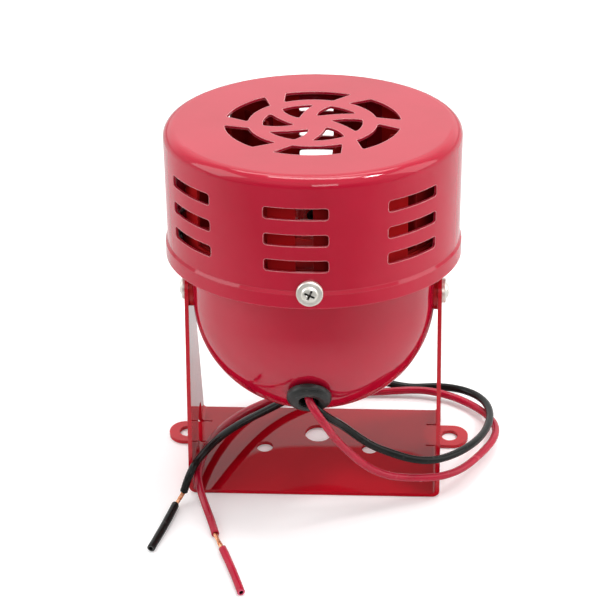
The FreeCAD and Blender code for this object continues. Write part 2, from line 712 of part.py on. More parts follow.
def commutator():
    low, top = COMM_Z
    body = ring(SHAFT_R, COMM_R, low, top)
    for k in range(POLES):
        body = body.cut(rotz(box(-0.15, -4, low - 1, 0.15, -2.4, top + 1), POLE_PITCH * k))
    lugs = [rotz(box(-0.6, -4.6, top - 0.6, 0.6, -3.0, top), POLE_PITCH * k + POLE_PITCH / 2)
            for k in range(POLES)]
    return body.multiFuse(lugs).removeSplitter()


def armature_core():
    low, top = CORE_Z
    poles = []
    for k in range(POLES):
        az = POLE_PITCH * k
        poles.append(rotz(box(-1.3, -9.6, low, 1.3, -3.5, top), az))
        poles.append(sector(8.6, 10.3, az - 30, az + 30, low, top))
    return ring(SHAFT_R, 4.2, low, top).multiFuse(poles).removeSplitter()


def armature_windings():
    core = armature_core()
    low, top = CORE_Z
    coils = []
    for k in range(POLES):
        az = POLE_PITCH * k
        coil = rotz(box(-3.2, -8.5, low - 2.2, 3.2, -4.3, top + 2.2), az)
        coil = coil.common(sector(4.3, 8.5, az - 34, az + 34, low - 3, top + 3))
        coils.append(coil.cut(core))
    return group(coils)


def motor_screws():
    screws = []
    for side in SIDES:
        screw = pan_screw(MOTOR_SCREW_R, head_r=2.3, head_h=1.6, length=3.6, recess=1.1)
        screw.translate(Vector(side * MOTOR_SCREW_X, 0, STATOR_Z))
        screws.append(screw)
    return group(screws)


# ---------------------------------------------------------------- grommet and leads
def grommet():
    """Rubber bush, drawn on +Z with z=0 at the bowl's outside, then laid on its axis."""
    bush = revolve([(2.55, -2.4), (5.2, -2.4), (5.5, -2.0), (5.5, -1.35),
                    (GROMMET_HOLE_R, -1.15), (GROMMET_HOLE_R, 0.30), (5.7, 0.30), (6.0, 0.62),
                    (6.0, 1.5), (5.75, 2.1), (5.1, 2.6), (4.2, 2.95), (3.2, 3.0),
                    (2.75, 2.8), (2.55, 2.4)])
    bush = along(bush, grommet_axis() * bowl_surface_r(), grommet_axis())
    return bush.cut(bowl_shell().cut(grommet_hole()))


def direction(start, end):
    return Vector(*end).sub(Vector(*start)).normalize()


def lead_body(path):
    """Insulated lead with a shallow socket in its stripped end."""
    end, heading = Vector(*path[-1]), direction(path[-2], path[-1])
    return sweep(path, LEAD_R).cut(cyl(SOCKET_R, 2.2, end - heading * 1.2, heading))


def lead_slug(ends):
    """Loose piece of insulation, hollowed at both ends."""
    start, end = Vector(*ends[0]), Vector(*ends[1])
    heading = direction(*ends)
    body = cyl(LEAD_R, end.sub(start).Length, start, heading)
    body = body.cut(cyl(SOCKET_R, 3.2, start - heading * 0.2, heading))
    return body.cut(cyl(0.42, 3.0, end - heading * 2.5, heading))


def lead_strands(path, ends):
    """Bare strands twisted together, bridging the gap from lead to slug."""
    dir0, dir1 = direction(path[-2], path[-1]), direction(*ends)
    start = Vector(*path[-1]) - dir0 * 1.0
    end = Vector(*ends[0]) + dir1 * 1.6
    reach = end.sub(start).Length
    strands = []
    for k in range(STRANDS):
        points = []
        for i in range(STRAND_STEPS + 1):
            t = i / STRAND_STEPS
            # Hermite centre line
            centre = (start * (2 * t ** 3 - 3 * t ** 2 + 1)
                      + dir0 * (reach * (t ** 3 - 2 * t ** 2 + t))
                      + end * (-2 * t ** 3 + 3 * t ** 2)
                      + dir1 * (reach * (t ** 3 - t ** 2)))
            heading = (dir0 * (1 - t) + dir1 * t).normalize()
            across = heading.cross(Vector(0, 0, 1)).normalize()
            other = across.cross(heading)
            angle = 2 * math.pi * (t * STRAND_TURNS + k / STRANDS)
            points.append(centre + across * (STRAND_OFFSET * math.cos(angle))
                          + other * (STRAND_OFFSET * math.sin(angle)))
        strands.append(sweep(points, STRAND_R))
    return strands[0].multiFuse(strands[1:])


# ---------------------------------------------------------------- build
cover = top_cover()
head_parts = {
    "top_cover": cover,
    "cover_screws": cover_screws(cover),
    "bowl": bowl(),
    "pivot_screws": pivot_screws(),
    "pivot_spacers": pivot_spacers(),
    "pivot_lock_washers": pivot_lock_washers(),
    "pivot_nuts": pivot_nuts(),
    "motor_plate": motor_plate(),
    "stator_drum": stator_drum(),
    "stator_rivets": stator_rivets(),
    "rotor_drum": rotor_drum(),
    "rotor_hub": rotor_hub(),
    "set_screw": set_screw(),
    "motor_can": motor_can(),
    "motor_magnets": motor_magnets(),
    "motor_end_cap": motor_end_cap(),
    "motor_terminals": motor_terminals(),
    "brush_arms": brush_arms(),
    "motor_brushes": motor_brushes(),
    "front_bearing": bearing(CAN_TOP - 2.8),
    "rear_bearing": bearing(CAN_BOTTOM - 3.4),
    "shaft": cyl(SHAFT_R, SHAFT_L, (0, 0, CAN_BOTTOM - 3.9)),
    "thrust_washers": thrust_washers(),
    "armature_core": armature_core(),
    "armature_windings": armature_windings(),
    "commutator": commutator(),
    "motor_screws": motor_screws(),
    "grommet": grommet(),
}
nodes = {"bracket": bracket()}
for name, shape in head_parts.items():
    nodes[name] = place_head(shape)
for name, path, ends in (("red", RED_PATH, RED_SLUG), ("black", BLACK_PATH, BLACK_SLUG)):
    body, slug = lead_body(path), lead_slug(ends)
    nodes[name + "_strands"] = group([lead_strands(path, ends).cut(slug).cut(body)])
    nodes[name + "_slug"] = slug
    nodes[name + "_lead"] = body.cut(nodes["grommet"])
for name, shape in nodes.items():
    shape.exportStep("parts/%s.step" % name)
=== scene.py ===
"""Red enamelled motor unit: a head with a spinning rotor tilts on a bracket, and a red and a
black lead run from the head around the bracket to stripped ends on the ground.

The ground is z = 0 and +Z is up. The camera looks from the front (-Y) and from above.
Lead shapes are in millimetres; everything else is in metres unless its name says mm.
"""

import json
import math

import bmesh
import bpy
import numpy as np
from mathutils import Matrix, Vector


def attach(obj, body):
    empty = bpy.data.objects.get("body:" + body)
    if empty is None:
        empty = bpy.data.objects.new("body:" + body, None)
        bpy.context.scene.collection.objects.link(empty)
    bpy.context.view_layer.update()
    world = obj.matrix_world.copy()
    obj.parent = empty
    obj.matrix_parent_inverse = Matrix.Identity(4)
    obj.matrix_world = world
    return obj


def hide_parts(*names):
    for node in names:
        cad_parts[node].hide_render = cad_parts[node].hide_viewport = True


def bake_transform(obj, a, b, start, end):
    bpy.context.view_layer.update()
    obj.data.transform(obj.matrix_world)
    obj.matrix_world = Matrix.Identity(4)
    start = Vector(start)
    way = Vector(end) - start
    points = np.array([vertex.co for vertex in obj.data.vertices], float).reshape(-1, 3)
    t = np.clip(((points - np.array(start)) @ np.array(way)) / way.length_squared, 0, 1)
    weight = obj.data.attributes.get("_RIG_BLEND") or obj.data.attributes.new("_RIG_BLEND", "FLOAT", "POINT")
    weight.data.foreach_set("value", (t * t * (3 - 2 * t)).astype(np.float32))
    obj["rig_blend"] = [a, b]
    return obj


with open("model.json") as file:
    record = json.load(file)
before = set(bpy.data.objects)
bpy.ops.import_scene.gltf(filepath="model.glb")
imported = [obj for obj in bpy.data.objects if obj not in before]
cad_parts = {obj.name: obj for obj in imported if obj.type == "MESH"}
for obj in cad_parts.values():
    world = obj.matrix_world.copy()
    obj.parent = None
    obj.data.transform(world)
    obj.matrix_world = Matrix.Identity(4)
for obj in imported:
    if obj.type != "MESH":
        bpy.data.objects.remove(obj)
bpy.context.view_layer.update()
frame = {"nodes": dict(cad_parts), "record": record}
scene = bpy.context.scene
MM = 0.001

# ================================================================ dimensions
# Lead centre lines, x y z in mm, from the head to the stripped end.
# At the head the red lead lies over the black one.
RED_PATH = [
    (-0.50, -36.75, 46.70), (0.15, -41.10, 44.90), (3.10, -43.00, 40.40), (6.90, -41.40, 32.40),
    (11.20, -38.60, 24.60), (15.91, -35.75, 17.75), (20.88, -33.45, 13.41), (26.89, -30.73, 10.47),
    (33.43, -28.15, 8.73), (38.99, -24.36, 7.51), (43.24, -18.99, 6.44), (46.78, -12.73, 5.48),
    (49.64, -6.15, 4.58), (50.46, 0.51, 3.68), (48.34, 6.96, 2.82), (43.91, 12.57, 2.20),
    (38.03, 16.69, 2.06), (31.43, 18.89, 2.26), (24.56, 19.47, 2.01), (17.52, 19.29, 1.48),
    (10.35, 19.26, 1.16), (3.20, 19.25, 1.19), (-3.73, 18.44, 1.44), (-10.23, 16.06, 1.79),
    (-16.09, 12.10, 2.28), (-21.08, 7.09, 3.01), (-25.09, 1.38, 3.96), (-28.18, -4.88, 4.90),
    (-30.40, -11.54, 5.59), (-31.81, -18.47, 5.79), (-32.28, -25.46, 5.16), (-30.63, -31.92, 3.03),
    (-28.18, -38.34, 1.30), (-26.18, -45.08, 1.13),
]
BLACK_PATH = [
    (0.50, -36.45, 44.60), (1.10, -39.95, 42.95), (4.30, -39.80, 38.80), (8.20, -36.20, 33.00),
    (11.90, -34.10, 28.00), (16.17, -33.12, 23.78), (21.36, -31.60, 19.93), (27.05, -30.27, 16.80),
    (32.60, -27.93, 14.52), (37.54, -24.04, 12.94), (41.67, -19.12, 11.56), (44.87, -13.59, 10.06),
    (47.17, -7.59, 8.54), (48.55, -1.21, 7.12), (48.74, 5.22, 5.81), (47.37, 11.31, 4.57),
    (44.04, 16.63, 3.33), (38.63, 20.66, 2.11), (32.29, 22.37, 1.26), (25.92, 22.20, 1.15),
    (19.48, 22.72, 2.01), (13.06, 23.08, 3.30), (6.84, 21.43, 4.24), (0.94, 18.54, 4.57),
    (-4.59, 14.92, 4.50), (-9.69, 10.71, 4.46), (-14.30, 6.07, 4.86), (-18.43, 1.12, 5.85),
    (-22.12, -4.13, 7.14), (-25.44, -9.65, 8.43), (-28.46, -15.40, 9.40), (-31.24, -21.37, 9.76),
    (-33.80, -28.00, 9.38), (-35.99, -29.83, 3.49),
]
# Axis ends of the loose sleeves of insulation on the ground, copper end first
RED_SLUG = ((-23.95, -50.71, 1.12), (-17.47, -68.89, 1.12))
BLACK_SLUG = ((-38.20, -32.89, 1.12), (-43.34, -51.68, 1.12))
# tone, centre line, sleeve, random seed, turns of the copper twist, skew of the sleeve's cut (mm)
LEADS = [
    ("red", RED_PATH, RED_SLUG, 3, 1.6, 0.45),
    ("black", BLACK_PATH, BLACK_SLUG, 5, 1.3, -0.2),
]
LEAD_R = 1.1          # mm, nominal radius of the insulation
LEAD_SIDES = 28
STRAND_R = 0.15       # mm
STRAND_SIDES = 8
STRANDS = 9           # the last one runs along the middle

# The head carries a lead above the first point; the bracket holds it below the second
BLEND_START = (0.0, -0.040, 0.0435)
BLEND_END = (0.0, -0.040, 0.0125)

joints = {joint["name"]: joint for joint in frame["record"]["behaviour"]["joints"]}
HEAD_AXIS = tuple(joints["rotor_spin"]["axis"])
TILT_TO_LIP = 0.0175  # from the tilt joint to the cover's lip, along the head axis
LIP_TOP = float(Vector(HEAD_AXIS).dot(Vector(joints["head_tilt"]["pos_m"]))) + TILT_TO_LIP


# ================================================================ node kit
class Nodes:
    """Short calls for building a node tree."""

    def __init__(self, tree):
        self.tree = tree
        tree.nodes.clear()

    def add(self, kind, inputs=None, **settings):
        node = self.tree.nodes.new(kind)
        for name, value in settings.items():
            setattr(node, name, value)
        self.feed(node, inputs or {})
        return node

    def feed(self, node, inputs):
        """Link or set each input, by name or index."""
        for socket, value in inputs.items():
            if hasattr(value, "node"):
                self.tree.links.new(value, node.inputs[socket])
            else:
                node.inputs[socket].default_value = value

    def remap(self, value, over, to=(0.0, 1.0)):
        inputs = {"From Min": over[0], "From Max": over[1], "To Min": to[0], "To Max": to[1],
                  "Value": value}
        return self.add("ShaderNodeMapRange", inputs, clamp=True).outputs["Result"]

    def math(self, operation, *values):
        return self.add("ShaderNodeMath", dict(enumerate(values)), operation=operation).outputs[0]

    def mul(self, first, second):
        return self.math("MULTIPLY", first, second)

    def split(self, vector):
        return self.add("ShaderNodeSeparateXYZ", {0: vector}).outputs

    def dot(self, first, second):
        node = self.add("ShaderNodeVectorMath", {0: first, 1: second}, operation="DOT_PRODUCT")
        return node.outputs["Value"]


class Material(Nodes):
    """A Principled material with textures in object space."""

    def __init__(self, name):
        self.data = bpy.data.materials.new(name)
        self.data.use_nodes = True
        super().__init__(self.data.node_tree)
        output = self.add("ShaderNodeOutputMaterial")
        self.shader = self.add("ShaderNodeBsdfPrincipled")
        self.feed(output, {0: self.shader.outputs[0]})
        self.place = self.add("ShaderNodeTexCoord").outputs["Object"]

    def surface(self, inputs):
        self.feed(self.shader, inputs)

    def noise(self, scale, detail=3.0, rough=0.5, distortion=0.0):
        inputs = {"Scale": scale, "Detail": detail, "Roughness": rough,
                  "Distortion": distortion, "Vector": self.place}
        return self.add("ShaderNodeTexNoise", inputs).outputs["Fac"]

    def voronoi(self, scale):
        inputs = {"Scale": scale, "Vector": self.place}
        return self.add("ShaderNodeTexVoronoi", inputs).outputs["Distance"]

    def wave(self, scale, axis, distortion):
        inputs = {"Scale": scale, "Distortion": distortion, "Vector": self.place}
        return self.add("ShaderNodeTexWave", inputs, bands_direction=axis).outputs["Fac"]

    def mix(self, factor, first, second):
        """Blend two colours, each a link or an RGB triple."""
        first, second = (colour if hasattr(colour, "node") else (*colour, 1.0)
                         for colour in (first, second))
        inputs = {0: factor, 6: first, 7: second}
        return self.add("ShaderNodeMix", inputs, data_type="RGBA").outputs[2]

    def geometry(self, name):
        return self.add("ShaderNodeNewGeometry").outputs[name]

    def rounded(self, radius_mm):
        """Normal that rounds off hard edges."""
        return self.add("ShaderNodeBevel", {"Radius": radius_mm * MM}, samples=4).outputs[0]

    def edge_mask(self, rounded):
        """0 on flats, towards 1 where the rounded normal leaves the true one."""
        return self.remap(self.dot(rounded, self.geometry("Normal")), over=(0.992, 0.88))

    def bump(self, height, strength, distance, normal):
        inputs = {"Strength": strength, "Distance": distance, "Height": height, "Normal": normal}
        return self.add("ShaderNodeBump", inputs).outputs[0]


def scaled(colour, factor, plus=0.0):
    return tuple(min(1.0, channel * factor + plus) for channel in colour)


# ================================================================ material families
def enamel(name, deep, lit, rough=0.22, coat=1.0, peel=0.05, edge_mm=0.22, gloss_and_shadow=None,
           edge_highlight=0.35, edge_highlight_tone=None, highlight_above=None, ior=1.52):
    """Gloss enamel: slow colour drift, specks, orange peel and a painted highlight on the edges.

    edge_highlight is the strength of the painted edge highlight; highlight_above = (axis, height) weakens it
    below that height.
    gloss_and_shadow(material, coat) gives the coat weight and a painted shadow mask.
    """
    mat = Material(name)
    drift = mat.remap(mat.noise(scale=28.0, detail=4.0, rough=0.55), over=(0.34, 0.68))
    colour = mat.mix(drift, deep, lit)

    specks = mat.remap(mat.voronoi(scale=420.0), over=(0.030, 0.012))
    clusters = mat.remap(mat.noise(scale=60.0, detail=2.0), over=(0.60, 0.66))
    colour = mat.mix(mat.mul(mat.mul(specks, clusters), 0.5), colour, scaled(deep, 0.35))

    rounded = mat.rounded(edge_mm)
    # Painted highlight: a pale tone laid along the rounded edges.
    painted_edge_highlight = mat.mul(mat.edge_mask(rounded), edge_highlight)
    if highlight_above:
        axis, start = highlight_above
        height = mat.dot(mat.place, axis)
        painted_edge_highlight = mat.mul(painted_edge_highlight, mat.remap(height, over=(start, start + MM), to=(0.25, 1.0)))
    colour = mat.mix(painted_edge_highlight, colour, edge_highlight_tone or scaled(lit, 1.25, plus=0.06))

    smear = mat.noise(scale=46.0, detail=5.0, rough=0.6, distortion=0.4)
    if gloss_and_shadow:
        coat, painted_shadow = gloss_and_shadow(mat, coat)
        # Painted shadow: the colour darkens where the mask is set.
        colour = mat.mix(painted_shadow, colour, scaled(deep, 0.50))
    fine_peel = mat.bump(mat.noise(scale=520.0, detail=2.0, rough=0.4),
                         strength=peel, distance=0.00012, normal=rounded)
    peel_normal = mat.bump(mat.noise(scale=55.0, detail=1.0, rough=0.3),
                           strength=peel * 1.6, distance=0.0011, normal=fine_peel)
    mat.surface({
        "Base Color": colour,
        "Roughness": mat.remap(smear, over=(0.3, 0.7), to=(rough * 0.8, rough * 1.35)),
        "Specular IOR Level": 0.0,
        "Coat Weight": coat,
        "Coat Roughness": mat.remap(smear, over=(0.35, 0.75), to=(0.018, 0.065)),
        "Coat IOR": ior,
        "Normal": peel_normal,
        "Coat Normal": peel_normal,
    })
    return mat.data


def plate_gloss_and_shadow(mat, coat):
    """Less gloss inside a squarish oval on the front of the base plate, and a painted shadow of the head
    around it.
    """
    centre_x, centre_y = 0.006, -0.034
    half_x, half_y = 0.0325, 0.0282
    power = 3.0           # squareness of the oval
    wobble = 0.05         # waviness of its outline
    gloss_loss = 0.80
    painted_shadow_strength = 0.42

    place = mat.split(mat.place)
    across, along = (
        mat.math("ABSOLUTE", mat.math("DIVIDE", mat.math("SUBTRACT", place[axis], centre), half))
        for axis, centre, half in (("X", centre_x, half_x), ("Y", centre_y, half_y)))
    total = mat.math("ADD", mat.math("POWER", across, power), mat.math("POWER", along, power))
    radius = mat.math("POWER", total, 1.0 / power)
    ripple = mat.mul(mat.math("SUBTRACT", mat.noise(scale=70.0, detail=2.0), 0.5), wobble)
    inside = mat.remap(mat.math("ADD", radius, ripple), over=(1.03, 0.98))

    # Upward faces, and everything in front of the bracket's body, close to the ground
    upward = mat.remap(mat.split(mat.geometry("Normal"))["Z"], over=(0.9, 0.97))
    forward = mat.remap(place["Y"], over=(-0.0252, -0.0260))
    low = mat.remap(place["Z"], over=(0.004, 0.002))
    face = mat.mul(mat.math("MAXIMUM", upward, forward), low)

    dulled = mat.mul(mat.mul(inside, face), gloss_loss)
    gloss = mat.mul(mat.math("SUBTRACT", 1.0, dulled), coat)
    # Painted shadow of the head: darker outside the oval on the plate's face, between the bracket's arms.
    inboard = mat.remap(mat.math("ABSOLUTE", place["X"]), over=(0.0345, 0.0335))
    around = mat.mul(mat.math("SUBTRACT", 1.0, inside), face)
    return gloss, mat.mul(around, mat.mul(inboard, painted_shadow_strength))


def metal(name, dull, bright, rough, scale, edge_mm, brush=None, metallic=1.0, hollow_shade=None):
    """Plated or machined metal: cloudy, stained, brushed along an axis, with painted shade in the hollows.
    """
    mat = Material(name)
    cloud = mat.noise(scale, detail=5.0, rough=0.6)
    colour = mat.mix(mat.remap(cloud, over=(0.32, 0.7)), dull, bright)
    stain = mat.remap(mat.noise(scale * 3.4, detail=3.0, rough=0.65, distortion=0.6),
                      over=(0.56, 0.72))
    colour = mat.mix(mat.mul(stain, 0.25), colour, scaled(dull, 0.45))
    rounded = mat.rounded(edge_mm)
    colour = mat.mix(mat.mul(mat.edge_mask(rounded), 0.4), colour, scaled(bright, 1.2))
    if hollow_shade:
        # Painted shade: the colour darkens where ambient occlusion finds a hollow.
        occlusion = mat.add("ShaderNodeAmbientOcclusion", {"Distance": 1.1 * MM},
                            samples=8, only_local=True).outputs["AO"]
        colour = mat.mix(mat.remap(occlusion, over=(0.42, 0.72)), hollow_shade, colour)
    if brush:
        grain = mat.wave(*brush, distortion=1.5)
    else:
        grain = mat.noise(scale=2400.0, detail=2.0, rough=0.5)
    mat.surface({
        "Base Color": colour,
        "Metallic": metallic,
        "Roughness": mat.remap(cloud, over=(0.3, 0.7), to=rough),
        "Normal": mat.bump(grain, strength=0.10, distance=0.00004, normal=rounded),
    })
    return mat.data


def soft(name, low, high, rough, grain, strength=0.15, depth=0.00005, coat=0.0, scatter=0.0,
         edge_mm=0.15, specular=0.5):
    """Moulded rubber or plastic skin with a little dust."""
    mat = Material(name)
    drift = mat.noise(scale=140.0, detail=4.0, rough=0.55)
    colour = mat.mix(mat.remap(drift, over=(0.32, 0.7)), low, high)
    dust = mat.remap(mat.noise(scale=700.0, detail=3.0, rough=0.7), over=(0.60, 0.76))
    colour = mat.mix(mat.mul(dust, 0.10), colour, (0.42, 0.40, 0.38))
    mat.surface({
        "Base Color": colour,
        "Roughness": mat.remap(drift, over=(0.3, 0.7), to=rough),
        "Specular IOR Level": specular,
        "Coat Weight": coat,
        "Coat Roughness": 0.12,
        "Normal": mat.bump(mat.noise(grain, detail=3.0, rough=0.6), strength=strength,
                           distance=depth, normal=mat.rounded(edge_mm)),
    })
    if scatter:
        mat.surface({"Subsurface Weight": scatter, "Subsurface Scale": 1.0,
                     "Subsurface Radius": (0.0012, 0.0003, 0.0003)})
    return mat.data


# ================================================================ materials
ENAMELS = {
    "enamel_red": dict(deep=(0.405, 0.0028, 0.022), lit=(0.465, 0.005, 0.030), edge_mm=0.42,
                       edge_highlight=0.95, edge_highlight_tone=(0.80, 0.34, 0.36), highlight_above=(HEAD_AXIS, LIP_TOP)),
    "enamel_red_bowl": dict(deep=(0.39, 0.003, 0.021), lit=(0.45, 0.005, 0.028), rough=0.2,
                            ior=1.62),
    "enamel_red_bracket": dict(deep=(0.47, 0.0028, 0.012), lit=(0.54, 0.005, 0.018), rough=0.2,
                               peel=0.035, gloss_and_shadow=plate_gloss_and_shadow),
    "enamel_drum": dict(deep=(0.56, 0.010, 0.014), lit=(0.66, 0.018, 0.020), rough=0.4,
                        coat=0.6, peel=0.09),
    "enamel_rotor": dict(deep=(0.30, 0.008, 0.010), lit=(0.38, 0.012, 0.013), rough=0.45,
                         coat=0.4, peel=0.09),
}
# name, dull colour, bright colour, roughness range, cloud scale, edge width (mm), extras;
# brush = (scale, axis)
METALS = [
    ("zinc_plate", (0.77, 0.75, 0.68), (0.95, 0.93, 0.85), (0.24, 0.42), 420.0, 0.10,
     dict(metallic=0.72, hollow_shade=(0.040, 0.032, 0.026))),
    ("plated_steel", (0.50, 0.51, 0.52), (0.68, 0.68, 0.68), (0.22, 0.38), 120.0, 0.15,
     dict(brush=(900.0, "Z"))),
    ("galvanised_plate", (0.46, 0.47, 0.48), (0.66, 0.67, 0.68), (0.30, 0.46), 75.0, 0.15, {}),
    ("turned_alloy", (0.62, 0.63, 0.64), (0.80, 0.80, 0.81), (0.20, 0.32), 200.0, 0.15,
     dict(brush=(1600.0, "Z"))),
    ("black_oxide", (0.02, 0.02, 0.022), (0.06, 0.06, 0.06), (0.35, 0.5), 300.0, 0.08, {}),
    ("ferrite", (0.045, 0.045, 0.05), (0.09, 0.09, 0.095), (0.55, 0.75), 260.0, 0.15,
     dict(metallic=0.2)),
    ("stamped_brass", (0.66, 0.44, 0.16), (0.86, 0.64, 0.30), (0.2, 0.35), 240.0, 0.08, {}),
    ("sintered_bronze", (0.40, 0.22, 0.09), (0.58, 0.36, 0.17), (0.35, 0.5), 900.0, 0.1, {}),
    ("lamination_steel", (0.16, 0.16, 0.17), (0.34, 0.34, 0.35), (0.32, 0.5), 200.0, 0.05,
     dict(brush=(620.0, "Z"))),
    ("enamelled_winding", (0.42, 0.10, 0.035), (0.70, 0.24, 0.08), (0.18, 0.3), 500.0, 0.2,
     dict(brush=(700.0, "DIAGONAL"))),
    ("commutator_copper", (0.60, 0.25, 0.13), (0.86, 0.46, 0.28), (0.2, 0.36), 500.0, 0.08,
     dict(brush=(1800.0, "Z"))),
    ("bare_copper", (0.78, 0.30, 0.13), (0.97, 0.58, 0.36), (0.16, 0.34), 900.0, 0.04, {}),
]
# name, low colour, high colour, roughness range, grain scale, extras
SOFTS = [
    ("white_nylon", (0.66, 0.64, 0.56), (0.78, 0.76, 0.69), (0.35, 0.5), 500.0, {}),
    ("copper_graphite", (0.07, 0.045, 0.035), (0.13, 0.075, 0.055), (0.5, 0.7), 1500.0,
     dict(strength=0.4)),
    ("black_rubber", (0.010, 0.0105, 0.010), (0.022, 0.023, 0.022), (0.24, 0.38), 700.0,
     dict(specular=0.4, strength=0.22, depth=0.0001, edge_mm=0.3)),
    ("red_pvc", (0.37, 0.004, 0.024), (0.47, 0.007, 0.036), (0.20, 0.28), 260.0,
     dict(coat=0.15, strength=0.02, depth=0.0001, scatter=0.05, specular=0.34)),
    ("black_pvc", (0.006, 0.0065, 0.006), (0.011, 0.0115, 0.0105), (0.15, 0.21), 260.0,
     dict(strength=0.02, depth=0.0001, specular=0.20)),
    ("red_pvc_cut", (0.62, 0.045, 0.12), (0.74, 0.075, 0.17), (0.5, 0.65), 1800.0,
     dict(strength=0.3)),
    ("black_pvc_cut", (0.035, 0.034, 0.033), (0.060, 0.058, 0.056), (0.5, 0.65), 1800.0,
     dict(strength=0.3)),
    # The bores are near-black: painted shade inside the hollow ends of the sleeves.
    ("red_pvc_bore", (0.020, 0.0006, 0.002), (0.032, 0.001, 0.003), (0.6, 0.8), 900.0,
     dict(specular=0.1)),
    ("black_pvc_bore", (0.002, 0.002, 0.002), (0.004, 0.004, 0.004), (0.6, 0.8), 900.0,
     dict(specular=0.1)),
]
materials = {name: enamel(name, **look) for name, look in ENAMELS.items()}
for family, rows in ((metal, METALS), (soft, SOFTS)):
    for name, *look, extras in rows:
        materials[name] = family(name, *look, **extras)

# material: the pieces that wear it
PIECES = {
    "enamel_red": "top_cover",
    "enamel_red_bowl": "bowl",
    "enamel_red_bracket": "bracket",
    "enamel_drum": "stator_drum pivot_spacers",
    "enamel_rotor": "rotor_drum",
    "zinc_plate": "cover_screws pivot_screws pivot_lock_washers pivot_nuts motor_screws",
    "plated_steel": "motor_can shaft",
    "galvanised_plate": "motor_plate",
    "turned_alloy": "stator_rivets rotor_hub",
    "black_oxide": "set_screw",
    "ferrite": "motor_magnets",
    "white_nylon": "motor_end_cap thrust_washers",
    "stamped_brass": "motor_terminals brush_arms",
    "copper_graphite": "motor_brushes",
    "sintered_bronze": "front_bearing rear_bearing",
    "lamination_steel": "armature_core",
    "enamelled_winding": "armature_windings",
    "commutator_copper": "commutator",
    "bare_copper": "red_strands black_strands",
    "black_rubber": "grommet",
    "red_pvc": "red_lead red_slug",
    "black_pvc": "black_lead black_slug",
}
look_of = {piece: look for look, pieces in PIECES.items() for piece in pieces.split()}
for piece, obj in frame["nodes"].items():
    obj.data.materials.clear()
    obj.data.materials.append(materials[look_of[piece]])


# ================================================================ geometry helpers
def unit(vector):
    return vector / np.linalg.norm(vector)


def natural_spline(points, samples):
    """Evenly spaced points on a natural cubic through the points, chord-length parameter."""
    points = np.asarray(points, float)
    knots = np.r_[0.0, np.cumsum(np.linalg.norm(np.diff(points, axis=0), axis=1))]
    count = len(points)
    gap = np.diff(knots)
    system = np.zeros((count, count))
    right = np.zeros((count, 3))
    system[0, 0] = system[-1, -1] = 1.0
    for i in range(1, count - 1):
        system[i, i - 1:i + 2] = gap[i - 1], 2 * (gap[i - 1] + gap[i]), gap[i]
        right[i] = 6 * ((points[i + 1] - points[i]) / gap[i]
                        - (points[i] - points[i - 1]) / gap[i - 1])
    bend = np.linalg.solve(system, right)   # second derivatives at the knots
    where = np.linspace(0, knots[-1], samples)
    k = np.clip(np.searchsorted(knots, where, side="right") - 1, 0, count - 2)
    done = (where - knots[k])[:, None]
    span = gap[k][:, None]
    left = span - done
    return (bend[k] * left ** 3 / (6 * span) + bend[k + 1] * done ** 3 / (6 * span)
            + (points[k] / span - bend[k] * span / 6) * left
            + (points[k + 1] / span - bend[k + 1] * span / 6) * done)


def frames(line):
    """Tangents, normals and sides along a polyline, with the least twist; starts with +Z up."""
    tangent = np.gradient(line, axis=0)
    tangent /= np.linalg.norm(tangent, axis=1)[:, None]
    normal = np.zeros_like(line)
    previous = np.array([0.0, 0.0, 1.0])
    for i in range(len(line)):
        normal[i] = previous = unit(previous - tangent[i] * previous.dot(tangent[i]))
    return tangent, normal, np.cross(tangent, normal)


def tube(line, rings, sides):
    """Closed skin of rings: (index on the line, offset along it, radius).

    Offset and radius may be functions of the angle, but the end rings need a plain offset.
    """
    tangent, normal, side = frames(line)

    def at(value, angle):
        return value(angle) if callable(value) else value

    verts = [line[i] + tangent[i] * at(offset, angle)
             + (normal[i] * math.cos(angle) + side[i] * math.sin(angle)) * at(radius, angle)
             for i, offset, radius in rings
             for angle in np.linspace(0, 2 * np.pi, sides, endpoint=False)]
    pairs = [(j, (j + 1) % sides) for j in range(sides)]
    faces = [(base + j, base + q, base + sides + q, base + sides + j)
             for base in range(0, (len(rings) - 1) * sides, sides) for j, q in pairs]
    for ring, step in ((0, -1), (len(rings) - 1, 1)):
        i, offset, _ = rings[ring]
        centre = len(verts)
        verts.append(line[i] + tangent[i] * offset)
        faces += [(ring * sides + j, ring * sides + q, centre)[::step] for j, q in pairs]
    return np.array(verts), faces


def add_mesh(name, skins, slots, kinds=None):
    """One object from closed skins in mm; kinds gives each face's slot, and slot 0 is smooth."""
    verts, faces, base = [], [], 0
    for skin_verts, skin_faces in skins:
        verts.append(skin_verts * MM)
        faces += [tuple(i + base for i in face) for face in skin_faces]
        base += len(skin_verts)
    data = bpy.data.meshes.new(name)
    data.from_pydata(np.vstack(verts).tolist(), [], faces)
    data.update()
    bm = bmesh.new()
    bm.from_mesh(data)
    bmesh.ops.recalc_face_normals(bm, faces=bm.faces)
    bm.to_mesh(data)
    bm.free()
    for polygon, kind in zip(data.polygons, kinds or [0] * len(faces)):
        polygon.use_smooth = kind == 0
        polygon.material_index = kind
    obj = bpy.data.objects.new(name, data)
    scene.collection.objects.link(obj)
    for slot in slots:
        data.materials.append(materials[slot])
    return obj


